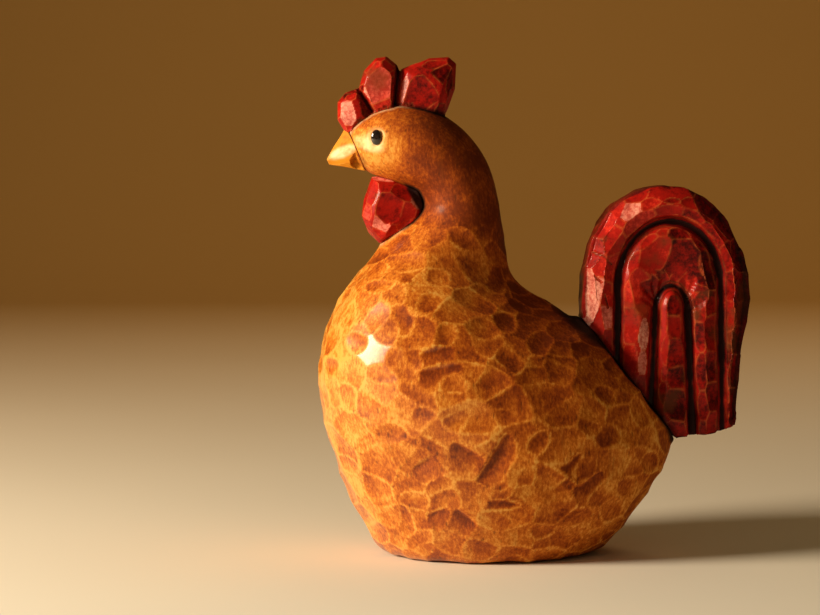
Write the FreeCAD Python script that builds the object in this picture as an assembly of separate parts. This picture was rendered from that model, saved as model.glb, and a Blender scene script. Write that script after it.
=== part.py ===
"""Carved wooden chicken, built from separately carved pieces that are glued and pegged together.

Frame: origin at the centre of the flat base, +Z up, the beak points along -X, and the bird is the same on
both sides of the XZ plane. Millimetres. Each piece is written to parts/NODE.step.
"""
import FreeCAD, Part
import math
import os

V = FreeCAD.Vector

# ---- driving dimensions ----------------------------------------------------------------------------------
# The body is skinned over flat cross-sections. Each runs from a point on the breast or throat side to a point
# on the back or crown side, both in the XZ plane: (x, z), (x, z), half-width, and how much narrower the back
# end is than the breast end.
BODY_SECTIONS = [
    ((-31.0, 0.0), (31.5, 0.0), 24.5, 0.0),
    ((-34.2, 1.8), (35.0, 1.8), 27.0, 0.0),
    ((-38.4, 8.5), (41.5, 8.5), 30.8, 0.0),
    ((-43.0, 17.5), (48.4, 17.5), 34.6, 0.0),
    ((-47.4, 29.0), (54.6, 29.0), 37.4, 0.06),
    ((-50.8, 40.5), (57.4, 41.0), 38.2, 0.16),
    ((-52.2, 52.5), (54.4, 52.6), 37.2, 0.24),
    ((-51.0, 63.5), (44.6, 62.4), 34.8, 0.27),
    ((-47.9, 72.5), (29.6, 70.0), 30.8, 0.27),
    ((-43.8, 80.0), (17.4, 76.6), 26.4, 0.25),
    ((-38.5, 87.0), (9.2, 81.8), 22.2, 0.16),
    ((-31.2, 95.0), (5.8, 88.6), 18.2, 0.08),
    ((-23.6, 101.0), (4.4, 98.0), 15.4, 0.0),
    ((-20.6, 105.5), (2.6, 107.0), 13.8, 0.0),
    ((-22.8, 109.3), (-0.4, 117.0), 13.8, 0.0),
    ((-27.0, 111.0), (-6.4, 126.0), 14.2, 0.0),
    ((-30.5, 112.4), (-14.8, 132.4), 14.0, 0.0),
    ((-33.5, 113.6), (-25.4, 135.2), 12.8, 0.0),
    ((-35.8, 114.6), (-35.6, 132.8), 10.6, 0.0),
    ((-37.4, 115.4), (-42.5, 127.6), 6.8, 0.0),
]
SECTION_POINTS = 28

# The tail stands on a flat cut across the rump, which runs between these two points of the XZ plane.
SEAT_TOP = (28.6, 69.6)
SEAT_FOOT = (55.6, 35.0)
SEAT_CUT_FROM_X = 15.0     # the cut stops here, short of the neck
SEAT_ROUNDING = 3.5        # radius of the flanks' edge round the cut
TAIL_OUTLINE = [
    (27.4, 69.6), (27.6, 81.0), (30.0, 93.8), (35.4, 103.4), (43.8, 109.2), (52.5, 110.9), (61.8, 109.0),
    (70.6, 101.0), (76.4, 89.0), (78.2, 77.5), (76.2, 64.0), (74.8, 50.0), (74.4, 38.6),
]
TAIL_FOOT = [(69.0, 36.9), (55.9, 35.2), (45.0, 33.6)]
TAIL_MIDDLE = (52.0, 74.0)
TAIL_MEAN_RADIUS = 27.0
TAIL_CORE = 7.2            # half-thickness of the plate behind the carved bands
BAND_HEIGHT = 3.2          # how far the bands stand above that plate
BAND_STEPS = [(0.0, 0.0), (0.55, 0.7), (1.0, 2.4)]   # share of BAND_HEIGHT, inset of the band's edge there
OUTER_RIM_INSET = 0.9
GROOVE_WIDTH = 1.9

# Grooves between the tail's bands: x of the two legs where the arch springs, x of the two legs at the foot,
# z where the arch springs, and z of its top.
OUTER_GROOVE = {"legs": (37.9, 68.9), "feet": (37.9, 69.9), "spring": 81.0, "top": 100.3}
INNER_GROOVE = {"legs": (49.2, 58.9), "feet": (47.4, 61.2), "spring": 73.5, "top": 81.0}
GROOVE_FOOT_Z = 26.0
ARCH_STEPS = 8             # spline spans round a groove's arch

# Comb: outlines of the three lobes in the XZ plane, from the front one back, and their half-thickness.
COMB_LOBES = [
    ([(-42.8, 125.6), (-45.7, 130.6), (-45.7, 135.8), (-43.4, 138.6), (-39.8, 140.0), (-36.6, 137.2),
      (-34.0, 130.0)], 5.0),
    ([(-38.0, 130.0), (-39.2, 140.4), (-37.8, 145.2), (-34.2, 149.0), (-31.2, 149.6), (-28.0, 147.0),
      (-26.6, 143.8), (-27.6, 130.0)], 5.8),
    ([(-29.0, 131.0), (-28.4, 140.0), (-26.4, 145.8), (-18.8, 148.9), (-12.4, 149.3), (-10.2, 147.4),
      (-10.6, 139.6), (-13.6, 131.4), (-17.0, 129.0)], 5.8),
]
# Facet rings of a carved lump: share of the half-thickness, and size of the outline there.
LUMP_RINGS = [(-1.0, 0.50), (-0.74, 0.82), (-0.26, 1.0), (0.26, 1.0), (0.74, 0.82), (1.0, 0.50)]
COMB_ROOT = [(-40.0, 124.0), (-43.2, 129.4), (-36.0, 135.6), (-27.0, 137.8), (-18.0, 136.0), (-14.0, 132.0),
             (-16.0, 124.0)]
COMB_ROOT_HALF = 3.9

# The wattle's rear edge is cut to fit the throat, so its outline runs on into the body there.
WATTLE_OUTLINE = [(-35.4, 113.6), (-38.0, 106.4), (-38.5, 101.8), (-36.4, 96.6), (-33.2, 93.6), (-27.2, 95.8),
                  (-20.4, 98.6), (-18.6, 104.6), (-20.4, 110.8), (-29.0, 113.8)]
WATTLE_HALF = 7.2

BEAK_TIP = (-49.9, 117.5)
BEAK_SEAT_TOP = (-43.2, 128.6)
BEAK_SEAT_FOOT = (-37.2, 115.3)
BEAK_HALF_WIDTH = 5.4
BEAK_TIP_SIZE = 0.13
# Corners of one side of the beak's outline: share of the way down, share of the half-width.
BEAK_CORNERS = [(0.0, 0.22), (0.42, 1.0), (0.80, 0.82), (1.0, 0.40)]
BEAK_TENON = {"r": 2.0, "length": 6.5, "down": 0.55}

EYE = {"x": -34.4, "z": 125.3, "half_height": 2.3, "half_width": 1.65, "sink": 1.3, "proud": 0.8,
       "dome": [(0.0, 1.0), (0.45, 0.9), (0.8, 0.66), (1.0, 0.3)], "pin_r": 0.5, "pin_length": 5.0}

# Pegs: radius, length, centre (x, z) and direction (x, z). The holes are a little wider and longer.
PEG_PLAY = 0.06
PEG_END_PLAY = 0.4
COMB_PEGS = {
    "comb_peg_front": {"r": 1.5, "length": 12.0, "centre": (-33.2, 135.4), "along": (0, 1)},
    "comb_peg_rear": {"r": 1.5, "length": 13.0, "centre": (-21.5, 136.2), "along": (0, 1)},
}
WATTLE_PEG = {"r": 1.5, "length": 17.0, "centre": (-23.4, 103.2), "along": (1, 0)}
TAIL_PEG_R = 3.0
TAIL_PEG_LENGTH = 24.0
TAIL_PEG_PLACES = {"tail_peg_upper": 0.33, "tail_peg_lower": 0.67}   # share of the way down the seat
FAR = 200.0                # size of the blocks used as half-spaces


# ---- helpers ---------------------------------------------------------------------------------------------
def xz(point, y=0.0):
    return V(point[0], y, point[1])


def polygon(points):
    return Part.makePolygon(points + [points[0]])


def half_space(point, outward):
    """A block whose one face passes through point, with the block on the outward side."""
    block = Part.makeBox(FAR, FAR, FAR, V(-FAR / 2, -FAR / 2, 0))
    block.Placement = FreeCAD.Placement(point, FreeCAD.Rotation(V(0, 0, 1), outward))
    return block


def rod(r, length, centre, along, extra_r=0.0, extra_length=0.0):
    """A round rod of that radius and length about centre, along a direction of the XZ plane."""
    direction = V(along[0], 0, along[1]).normalize()
    whole = length + extra_length
    return Part.makeCylinder(r + extra_r, whole, xz(centre) - direction * (whole / 2), direction)


def peg(spec):
    return rod(spec["r"], spec["length"], spec["centre"], spec["along"])


def peg_hole(spec):
    return rod(spec["r"], spec["length"], spec["centre"], spec["along"], PEG_PLAY, 2 * PEG_END_PLAY)


def along_line(start, end, share):
    return tuple(a + (b - a) * share for a, b in zip(start, end))


def unit(start, end):
    length = math.dist(start, end)
    return tuple((b - a) / length for a, b in zip(start, end))


# ---- body ------------------------------------------------------------------------------------------------
def section_points(front, back, half_width, taper):
    middle = (xz(front) + xz(back)) * 0.5
    half = (xz(back) - xz(front)) * 0.5
    points = []
    for i in range(SECTION_POINTS):
        turn = math.pi + 2 * math.pi * i / SECTION_POINTS
        reach = math.cos(turn)
        points.append(middle + half * reach + V(0, half_width * math.sin(turn) * (1 - taper * reach), 0))
    return points


def spline_through(points, steps, closed=False):
    """A cubic spline that meets the points at the parameters in steps."""
    curve = Part.BSplineCurve()
    curve.interpolate(Points=points, PeriodicFlag=closed, Parameters=steps)
    return curve


def steps_between(sections):
    """Parameters for the sections, from the square roots of the widest gaps between neighbours."""
    steps = [0.0]
    for one, other in zip(sections, sections[1:]):
        gap = max((a - b).Length for a, b in zip(one, other))
        steps.append(steps[-1] + math.sqrt(gap))
    return steps


def skin(sections):
    """A solid with one smooth side through all the closed sections, and flat ends."""
    round_steps = [float(i) for i in range(SECTION_POINTS + 1)]
    rings = [spline_through(points, round_steps, closed=True) for points in sections]
    up_steps = steps_between(sections)
    columns = [spline_through(list(poles), up_steps) for poles in zip(*(ring.getPoles() for ring in rings))]
    poles = [column.getPoles() for column in columns]
    ring, column = rings[0], columns[0]
    side = Part.BSplineSurface()
    side.buildFromPolesMultsKnots(poles, ring.getMultiplicities(), column.getMultiplicities(),
                                  ring.getKnots(), column.getKnots(), True, False, 3, 3)
    ends = [Part.Face(Part.Wire([side.vIso(step).toShape()])) for step in (up_steps[0], up_steps[-1])]
    shell = Part.makeShell([side.toShape(), *ends])
    shell.sewShape()
    solid = Part.Solid(shell)
    if solid.Volume < 0:
        solid.reverse()
    return solid


def seat_normal():
    down = unit(SEAT_TOP, SEAT_FOOT)
    return V(-down[1], 0, down[0])


def make_body():
    blank = skin([section_points(*section) for section in BODY_SECTIONS])
    rump = Part.makeBox(FAR, FAR, FAR, V(SEAT_CUT_FROM_X, -FAR / 2, 0))
    body = blank.cut(half_space(xz(SEAT_TOP), seat_normal()).common(rump))
    flats = [face for face in body.Faces if isinstance(face.Surface, Part.Plane)]
    seat = max(flats, key=lambda face: face.CenterOfMass.x)
    return body.makeFillet(SEAT_ROUNDING, seat.Edges)


# ---- tail ------------------------------------------------------------------------------------------------
def tail_wire(y, inset):
    """The tail's outline at depth y, drawn in by inset all round."""
    middle = xz(TAIL_MIDDLE)
    size = 1 - inset / TAIL_MEAN_RADIUS
    crown = [middle + (xz(p) - middle) * size for p in TAIL_OUTLINE]
    foot = [middle + (xz(p) - middle) * size for p in TAIL_FOOT]
    edge = Part.BSplineCurve()
    edge.interpolate(crown)
    corners = [crown[-1], *foot, crown[0]]
    wire = Part.Wire([edge.toShape()] + [Part.makeLine(a, b) for a, b in zip(corners, corners[1:])])
    wire.translate(V(0, y, 0))
    return wire


def tongue_wire(groove, y, grow):
    """A groove's arch as a closed tongue at depth y, with its sides moved out by grow."""
    left, right = groove["legs"][0] - grow, groove["legs"][1] + grow
    middle = (left + right) / 2
    top = groove["top"] + grow
    spring = groove["spring"]
    half = (right - left) / 2
    rise = top - spring
    turns = [math.pi * i / ARCH_STEPS for i in range(ARCH_STEPS + 1)]
    arch = Part.BSplineCurve()
    arch.interpolate([V(middle - half * math.cos(t), y, spring + rise * math.sin(t)) for t in turns])
    foot_left = V(groove["feet"][0] - grow, y, GROOVE_FOOT_Z)
    foot_right = V(groove["feet"][1] + grow, y, GROOVE_FOOT_Z)
    corners = [V(right, y, spring), foot_right, foot_left, V(left, y, spring)]
    return Part.Wire([arch.toShape()] + [Part.makeLine(a, b) for a, b in zip(corners, corners[1:])])


def tail_slab(y_from, y_to):
    return Part.makeLoft([tail_wire(y, 0) for y in (y_from, y_to)], True, True)


def tail_pad(side):
    """The tail's whole outline as a raised pad, whose edge is drawn in as it rises."""
    wires = [tail_wire(side * (TAIL_CORE + BAND_HEIGHT * share), inset + OUTER_RIM_INSET * (inset > 0))
             for share, inset in BAND_STEPS]
    return Part.makeLoft(wires, True, True)


def tongue_pad(groove, side, grow, direction):
    """A tongue as a raised pad. Its edge is drawn in as it rises, or let out where direction is -1."""
    wires = [tongue_wire(groove, side * (TAIL_CORE + BAND_HEIGHT * share), grow - direction * inset)
             for share, inset in BAND_STEPS]
    return Part.makeLoft(wires, True, True)


def tail_bands(side):
    """The outer band, the middle band and the plume on one side of the tail."""
    half_groove = GROOVE_WIDTH / 2
    whole = tail_slab(side * TAIL_CORE, side * (TAIL_CORE + BAND_HEIGHT))
    outer = tail_pad(side).cut(tongue_pad(OUTER_GROOVE, side, half_groove, -1))
    middle = tongue_pad(OUTER_GROOVE, side, -half_groove, 1)
    middle = middle.cut(tongue_pad(INNER_GROOVE, side, half_groove, -1))
    plume = tongue_pad(INNER_GROOVE, side, -half_groove, 1)
    return [outer, middle.common(whole), plume.common(whole)]


def make_tail():
    plate = tail_slab(-TAIL_CORE, TAIL_CORE)
    tail = plate.multiFuse(tail_bands(-1) + tail_bands(1)).removeSplitter()
    return tail.cut(half_space(xz(SEAT_TOP), seat_normal() * -1))


# ---- comb, wattle and beak -------------------------------------------------------------------------------
def biggest(shape):
    return max(shape.Solids, key=lambda s: s.Volume)


def carved_lump(outline, half_thickness):
    """A faceted lump: the outline swept through rings that shrink towards both sides."""
    middle = V(sum(p[0] for p in outline) / len(outline), 0, sum(p[1] for p in outline) / len(outline))
    rings = [polygon([middle + (xz(p) - middle) * size + V(0, share * half_thickness, 0) for p in outline])
             for share, size in LUMP_RINGS]
    return Part.makeLoft(rings, True, True)


def make_comb(body, beak):
    root_side = Part.Face(polygon([xz(p, -COMB_ROOT_HALF) for p in COMB_ROOT]))
    root = root_side.extrude(V(0, 2 * COMB_ROOT_HALF, 0))
    comb = root.multiFuse([carved_lump(*lobe) for lobe in COMB_LOBES])
    return biggest(comb.cut(body).cut(beak))


def make_wattle(body):
    return biggest(carved_lump(WATTLE_OUTLINE, WATTLE_HALF).cut(body))


def beak_ring(share):
    """The beak's faceted outline at a share of the way from its seat to its tip."""
    closing = share * (1 - BEAK_TIP_SIZE)
    top = along_line(BEAK_SEAT_TOP, BEAK_TIP, closing)
    foot = along_line(BEAK_SEAT_FOOT, BEAK_TIP, closing)
    width = BEAK_HALF_WIDTH * (1 - closing)
    left = [xz(along_line(top, foot, down), -width * out) for down, out in BEAK_CORNERS]
    return polygon(left + [V(p.x, -p.y, p.z) for p in reversed(left)])


def beak_tenon(play=0.0):
    middle = along_line(BEAK_SEAT_TOP, BEAK_SEAT_FOOT, BEAK_TENON["down"])
    down = unit(BEAK_SEAT_TOP, BEAK_SEAT_FOOT)
    inward = V(-down[1], 0, down[0])
    length = BEAK_TENON["length"] + (PEG_END_PLAY if play else 0)
    return Part.makeCylinder(BEAK_TENON["r"] + play, length, xz(middle), inward)


def make_beak(body):
    cone = Part.makeLoft([beak_ring(0.0), beak_ring(1.0)], True, True).cut(body)
    return biggest(cone).fuse(beak_tenon())


# ---- eyes ------------------------------------------------------------------------------------------------
def eye_oval(y, scale=1.0, play=0.0):
    """An upright oval in the plane at that y, centred on the eye."""
    centre = V(EYE["x"], y, EYE["z"])
    oval = Part.Ellipse(centre + V(0, 0, EYE["half_height"] * scale + play),
                        centre + V(EYE["half_width"] * scale + play, 0, 0), centre)
    return Part.Wire([oval.toShape()])


def eye_pin(side, inner_y, play=0.0):
    length = EYE["pin_length"] + (PEG_END_PLAY if play else 0)
    start = V(EYE["x"], side * inner_y, EYE["z"])
    return Part.makeCylinder(EYE["pin_r"] + play, length, start, V(0, -side, 0))


def eye_socket(side, surface_y):
    """The oval pocket for the bead and the hole for its pin."""
    floor = surface_y - EYE["sink"]
    pocket = Part.Face(eye_oval(side * floor, play=PEG_PLAY)).extrude(V(0, side * EYE["pin_length"], 0))
    return [pocket, eye_pin(side, floor + PEG_PLAY, PEG_PLAY)]


def make_eye(side, surface_y):
    """A bead with straight sides in its socket and a domed face, on a pin."""
    inner = surface_y - EYE["sink"] + PEG_PLAY
    rings = [eye_oval(side * inner)]
    rings += [eye_oval(side * (surface_y + EYE["proud"] * rise), scale) for rise, scale in EYE["dome"]]
    return Part.makeLoft(rings, True, True).fuse(eye_pin(side, inner))


def head_half_width(body):
    """Half-width of the head where the eyes are."""
    probe = Part.makeLine(V(EYE["x"], 0, EYE["z"]), V(EYE["x"], FAR, EYE["z"]))
    return max(v.Y for v in probe.common(body).Vertexes)


# ---- assembly --------------------------------------------------------------------------------------------
def tail_peg(share):
    normal = seat_normal()
    return {"r": TAIL_PEG_R, "length": TAIL_PEG_LENGTH, "centre": along_line(SEAT_TOP, SEAT_FOOT, share),
            "along": (normal.x, normal.z)}


def cut_all(shape, holes):
    for hole in holes:
        shape = shape.cut(hole)
    return shape


def main():
    body = make_body()
    beak = make_beak(body)
    comb = make_comb(body, beak)
    wattle = make_wattle(body)
    tail = make_tail()

    tail_pegs = {name: tail_peg(share) for name, share in TAIL_PEG_PLACES.items()}
    comb_holes = [peg_hole(spec) for spec in COMB_PEGS.values()]
    tail_holes = [peg_hole(spec) for spec in tail_pegs.values()]
    wattle_hole = peg_hole(WATTLE_PEG)
    eye_y = head_half_width(body)
    eye_holes = eye_socket(-1, eye_y) + eye_socket(1, eye_y)

    nodes = {
        "body": cut_all(body, comb_holes + tail_holes + eye_holes + [wattle_hole, beak_tenon(PEG_PLAY)]),
        "comb": cut_all(comb, comb_holes),
        "wattle": wattle.cut(wattle_hole),
        "beak": beak,
        "tail": cut_all(tail, tail_holes),
        "eye_left": make_eye(-1, eye_y),
        "eye_right": make_eye(1, eye_y),
        "wattle_peg": peg(WATTLE_PEG),
    }
    nodes.update({name: peg(spec) for name, spec in {**COMB_PEGS, **tail_pegs}.items()})

    os.makedirs("parts", exist_ok=True)
    for name, shape in nodes.items():
        shape.exportStep(f"parts/{name}.step")
        print(f"{name:16} solids {len(shape.Solids)} valid {shape.isValid()} volume {shape.Volume:9.1f}")


main()
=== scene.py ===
"""Carved wooden chicken: the looks. Each piece is a copy of its CAD solid, remeshed finely, cut with gouges
and knives, and painted with a procedural stain that follows those cuts."""
import math

import bpy
import numpy as np
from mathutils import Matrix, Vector, noise
from mathutils.bvhtree import BVHTree
from mathutils.kdtree import KDTree


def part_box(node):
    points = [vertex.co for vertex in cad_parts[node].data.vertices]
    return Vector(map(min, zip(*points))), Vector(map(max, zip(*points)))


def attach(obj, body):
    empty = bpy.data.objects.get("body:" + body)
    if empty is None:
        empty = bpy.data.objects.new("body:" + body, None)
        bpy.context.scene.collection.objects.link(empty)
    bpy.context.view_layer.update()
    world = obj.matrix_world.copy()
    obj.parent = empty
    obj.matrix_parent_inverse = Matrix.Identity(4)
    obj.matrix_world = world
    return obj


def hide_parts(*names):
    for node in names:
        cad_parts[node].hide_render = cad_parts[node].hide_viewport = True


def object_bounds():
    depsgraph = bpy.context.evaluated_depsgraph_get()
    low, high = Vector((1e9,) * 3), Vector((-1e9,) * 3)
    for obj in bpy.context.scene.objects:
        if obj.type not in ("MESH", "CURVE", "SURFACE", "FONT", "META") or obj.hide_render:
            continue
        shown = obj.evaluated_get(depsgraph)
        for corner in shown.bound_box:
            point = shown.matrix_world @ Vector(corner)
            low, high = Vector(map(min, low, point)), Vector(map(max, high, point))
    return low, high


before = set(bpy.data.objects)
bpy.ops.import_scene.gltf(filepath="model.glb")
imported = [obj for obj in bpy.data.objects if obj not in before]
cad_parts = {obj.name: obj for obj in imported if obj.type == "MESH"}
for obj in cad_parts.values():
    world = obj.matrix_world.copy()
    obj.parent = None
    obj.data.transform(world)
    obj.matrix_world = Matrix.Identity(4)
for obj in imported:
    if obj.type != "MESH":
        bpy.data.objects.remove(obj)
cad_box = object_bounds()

MM = 0.001


# ---- camera, lights and floor --------------------------------------------------------------------
# Degrees round from straight at the bird's left side, degrees up, and metres from the point aimed at.
CAMERA_AZIMUTH, CAMERA_ELEVATION, CAMERA_DISTANCE = -2.5, 3.75, 0.75
# That point from the middle of the bird's box, in metres. The bird stands right of the picture's middle.
CAMERA_AIM = (-0.037, 0, -0.0006)
CAMERA_LENS_MM, CAMERA_SENSOR_MM = 109.3, 36


def add_camera():
    """Just above the bird's middle, on its left side and a little towards its beak."""
    azimuth, elevation = math.radians(CAMERA_AZIMUTH), math.radians(CAMERA_ELEVATION)
    low, high = Vector(cad_box[0]), Vector(cad_box[1])
    aim = (low + high) / 2 + Vector(CAMERA_AIM)
    back = Vector((math.sin(azimuth) * math.cos(elevation), -math.cos(azimuth) * math.cos(elevation),
                   math.sin(elevation)))
    camera = bpy.data.objects.new("camera", bpy.data.cameras.new("camera"))
    bpy.context.scene.collection.objects.link(camera)
    camera.location = aim + back * CAMERA_DISTANCE
    camera.rotation_euler = (-back).to_track_quat("-Z", "Y").to_euler()
    camera.data.lens = CAMERA_LENS_MM
    camera.data.sensor_width = CAMERA_SENSOR_MM
    bpy.context.scene.camera = camera


def add_light(name, place, aim, size, watts, colour, glossy=True):
    data = bpy.data.lights.new(name, "AREA")
    data.shape = "DISK"
    data.size = size
    data.energy = watts
    data.color = colour
    light = bpy.data.objects.new(name, data)
    light.location = place
    light.rotation_euler = (Vector(aim) - Vector(place)).to_track_quat("-Z", "Y").to_euler()
    light.visible_glossy = glossy
    bpy.context.scene.collection.objects.link(light)


def add_lights():
    """A low warm key light from the beak's side, a weak fill without sheen, and one for the backdrop."""
    middle = (0, 0, 0.07)
    add_light("key", (-0.79, -0.26, 0.37), middle, 0.33, 13.0, (1.0, 0.82, 0.58))
    add_light("fill", (-0.35, -0.9, 0.45), middle, 0.8, 0.55, (1.0, 0.76, 0.44), glossy=False)
    add_light("backdrop", (0.25, 0.75, 0.9), (0.25, 1.25, 0.0), 0.7, 2.6, (1.0, 0.66, 0.30), glossy=False)
    world = bpy.data.worlds.new("world")
    world.use_nodes = True
    background = world.node_tree.nodes["Background"]
    background.inputs["Color"].default_value = (1.0, 0.70, 0.34, 1)
    background.inputs["Strength"].default_value = 0.065
    bpy.context.scene.world = world
    bpy.context.scene.view_settings.view_transform = "Standard"


# The floor's front edge, where it starts to curve up and how widely, its top edge and half its width, all in
# metres.
FLOOR_FRONT_Y, FLOOR_BEND_Y, FLOOR_BEND_R, FLOOR_TOP_Z, FLOOR_HALF_WIDTH = -3.0, 1.2, 0.8, 3.0, 3.5


def add_floor():
    """A plain pale sheet that lies flat and curves up far behind, where it is browner."""
    mesh = bpy.data.meshes.new("floor")
    rows = [(FLOOR_FRONT_Y, 0.0), (FLOOR_BEND_Y, 0.0)]
    rows += [(FLOOR_BEND_Y + FLOOR_BEND_R * math.sin(t), FLOOR_BEND_R - FLOOR_BEND_R * math.cos(t))
             for t in np.linspace(0.1, math.pi / 2, 14)]
    rows += [(FLOOR_BEND_Y + FLOOR_BEND_R, FLOOR_TOP_Z)]
    verts = [(x, y, z) for y, z in rows for x in (-FLOOR_HALF_WIDTH, FLOOR_HALF_WIDTH)]
    faces = [(2 * i, 2 * i + 1, 2 * i + 3, 2 * i + 2) for i in range(len(rows) - 1)]
    mesh.from_pydata(verts, [], faces)
    mesh.polygons.foreach_set("use_smooth", [True] * len(faces))
    floor = bpy.data.objects.new("floor", mesh)
    bpy.context.scene.collection.objects.link(floor)
    kit = Material("floor_paper")
    paper = kit.ramp(kit.noise(1.6, 3), [(0.3, (0.82, 0.79, 0.70)), (0.7, (0.88, 0.85, 0.76))])
    away = kit.node("ShaderNodeSeparateXYZ")
    kit.link(kit.space(), away.inputs["Vector"])
    far = kit.spread(away.outputs["Y"], -0.10, 1.2)
    kit.shade(kit.mix(far, paper, (0.52, 0.30, 0.090)), roughness=0.85)
    mesh.materials.append(kit.material)


# ---- materials -----------------------------------------------------------------------------------
class Material:
    """A short way to write a node tree."""

    def __init__(self, name):
        self.material = bpy.data.materials.new(name)
        self.material.use_nodes = True
        self.tree = self.material.node_tree
        self.shader = self.tree.nodes["Principled BSDF"]
        self.spaces = {}

    def node(self, kind, **sets):
        node = self.tree.nodes.new(kind)
        for key, value in sets.items():
            setattr(node, key, value)
        return node

    def link(self, source, target):
        self.tree.links.new(source, target)

    def feed(self, target, value):
        """Links value to the socket if it is a socket, or else sets it there."""
        if isinstance(value, bpy.types.NodeSocket):
            self.link(value, target)
        elif isinstance(value, tuple) and len(value) == 3 and target.type == "RGBA":
            target.default_value = (*value, 1)
        else:
            target.default_value = value

    def space(self, stretch=(1, 1, 1)):
        """Object coordinates, scaled."""
        if stretch not in self.spaces:
            coords = self.node("ShaderNodeTexCoord")
            mapping = self.node("ShaderNodeMapping")
            mapping.inputs["Scale"].default_value = stretch
            self.link(coords.outputs["Object"], mapping.inputs["Vector"])
            self.spaces[stretch] = mapping.outputs["Vector"]
        return self.spaces[stretch]

    def noise(self, scale, detail=4, rough=0.55, stretch=(1, 1, 1), warp=0.0):
        node = self.node("ShaderNodeTexNoise")
        node.inputs["Scale"].default_value = scale
        node.inputs["Detail"].default_value = detail
        node.inputs["Roughness"].default_value = rough
        node.inputs["Distortion"].default_value = warp
        self.link(self.space(stretch), node.inputs["Vector"])
        return node.outputs["Fac"]

    def cells(self, scale, stretch=(1, 1, 1)):
        """Distance to the nearest of scattered points."""
        node = self.node("ShaderNodeTexVoronoi")
        node.inputs["Scale"].default_value = scale
        self.link(self.space(stretch), node.inputs["Vector"])
        return node.outputs["Distance"]

    def attribute(self, name):
        return self.node("ShaderNodeAttribute", attribute_name=name).outputs["Fac"]

    def math(self, operation, a, b=0.0, clamp=False):
        node = self.node("ShaderNodeMath", operation=operation, use_clamp=clamp)
        self.feed(node.inputs[0], a)
        self.feed(node.inputs[1], b)
        return node.outputs[0]

    def spread(self, value, low, high, to_low=0.0, to_high=1.0):
        """value taken from the range low to high into the range to_low to to_high, and held there."""
        node = self.node("ShaderNodeMapRange", clamp=True)
        self.feed(node.inputs["Value"], value)
        for name, number in zip(("From Min", "From Max", "To Min", "To Max"), (low, high, to_low, to_high)):
            node.inputs[name].default_value = number
        return node.outputs["Result"]

    def ramp(self, value, stops):
        node = self.node("ShaderNodeValToRGB")
        node.color_ramp.interpolation = "B_SPLINE" if len(stops) > 3 else "EASE"
        elements = node.color_ramp.elements
        while len(elements) < len(stops):
            elements.new(0.5)
        for element, (place, colour) in zip(elements, stops):
            element.position = place
            element.color = (*colour, 1)
        self.feed(node.inputs["Fac"], value)
        return node.outputs["Color"]

    def mix(self, amount, a, b, blend="MIX"):
        node = self.node("ShaderNodeMix", data_type="RGBA", blend_type=blend)
        self.feed(node.inputs["Factor"], amount)
        self.feed(node.inputs[6], a)
        self.feed(node.inputs[7], b)
        return node.outputs[2]

    def shade(self, colour, roughness=0.5, bump=None, bump_depth=0.1, coat=0.0, coat_roughness=0.2,
              specular=0.5):
        shader = self.shader
        self.feed(shader.inputs["Base Color"], colour)
        self.feed(shader.inputs["Roughness"], roughness)
        shader.inputs["Specular IOR Level"].default_value = specular
        self.feed(shader.inputs["Coat Weight"], coat)
        shader.inputs["Coat Roughness"].default_value = coat_roughness
        if bump is not None:
            node = self.node("ShaderNodeBump")
            node.inputs["Distance"].default_value = bump_depth * MM
            node.inputs["Strength"].default_value = 1.0
            self.feed(node.inputs["Height"], bump)
            self.link(node.outputs["Normal"], shader.inputs["Normal"])


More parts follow.
